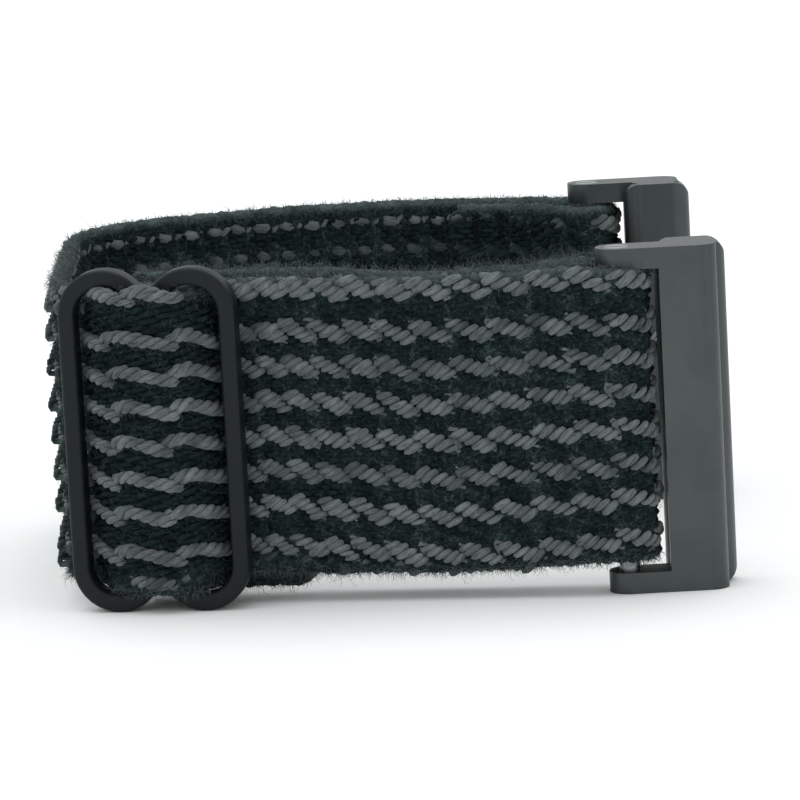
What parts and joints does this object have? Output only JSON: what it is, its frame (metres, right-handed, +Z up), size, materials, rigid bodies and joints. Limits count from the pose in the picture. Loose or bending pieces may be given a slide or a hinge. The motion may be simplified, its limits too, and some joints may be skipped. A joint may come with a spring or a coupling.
{
  "type": "watch strap",
  "caption": "Elastic woven watch strap in a closed loop, with a two-slot slider buckle and a slide-in adapter on a cross bar at each end.",
  "frame": {"origin": "middle of the loop's box, on the surface that its lower edge stands on", "axes": "+X from the left end of the loop to the adapters at the watch end, +Y from the buckle side to the far side, +Z up across the band's width"},
  "size_m": [0.0518, 0.05, 0.0264],
  "materials": {
    "woven_band": "dark fuzzy elastic weave with light grey twisted zigzag rows",
    "thread": "black sewing thread",
    "buckle_black": "matt black coat",
    "adapter_metal": "fine blasted silver grey",
    "bar_steel": "turned steel",
    "pad_rubber": "matt"
  },
  "bodies": {
    "strap": {"strap_near_run": "woven_band", "strap_near_bend": "woven_band", "strap_left_corner": "woven_band", "strap_left_end": "woven_band", "strap_far_corner": "woven_band", "strap_far_run": "woven_band", "strap_far_bend": "woven_band", "strap_far_tail": "woven_band", "far_stitches": "thread", "strap_inner_run": "woven_band"},
    "buckle": {"buckle_frame": "buckle_black", "strap_crossover": "woven_band", "strap_bar_sleeve": "woven_band", "strap_inner_end": "woven_band", "strap_sewn_tail": "woven_band", "buckle_stitches": "thread"},
    "near_adapter": {"near_insert": "adapter_metal", "near_bar": "bar_steel", "near_bar_screws": "bar_steel", "near_catch_spring": "bar_steel", "near_catch_sleeve": "bar_steel", "near_grip_pads": "pad_rubber"},
    "near_catch": {"near_catch": "bar_steel"},
    "far_adapter": {"far_insert": "adapter_metal", "far_bar": "bar_steel", "far_bar_screws": "bar_steel", "far_catch_spring": "bar_steel", "far_catch_sleeve": "bar_steel", "far_grip_pads": "pad_rubber"},
    "far_catch": {"far_catch": "bar_steel"}
  },
  "joints": [
    {"name": "buckle_slide", "type": "slide", "parent": "strap", "child": "buckle", "axis": [0.9848, -0.1736, 0], "range_m": [0, 0.018], "deforming": ["strap_inner_run"]},
    {"name": "near_adapter_hinge", "type": "hinge", "parent": "strap", "child": "near_adapter", "pos_m": [0.01765, -0.0224, 0.0132], "axis": [0, 0, 1], "range_deg": [-30, 30]},
    {"name": "far_adapter_hinge", "type": "hinge", "parent": "strap", "child": "far_adapter", "pos_m": [0.01765, 0.0176, 0.0132], "axis": [0, 0, 1], "range_deg": [-30, 30]},
    {"name": "near_catch_press", "type": "slide", "parent": "near_adapter", "child": "near_catch", "axis": [0, -1, 0], "range_m": [0, 0.0006], "stiffness_N_per_m": 400, "springref_m": -0.0005, "deforming": ["near_catch_spring"]},
    {"name": "far_catch_press", "type": "slide", "parent": "far_adapter", "child": "far_catch", "axis": [0, 1, 0], "range_m": [0, 0.0006], "stiffness_N_per_m": 400, "springref_m": -0.0005, "deforming": ["far_catch_spring"]}
  ]
}
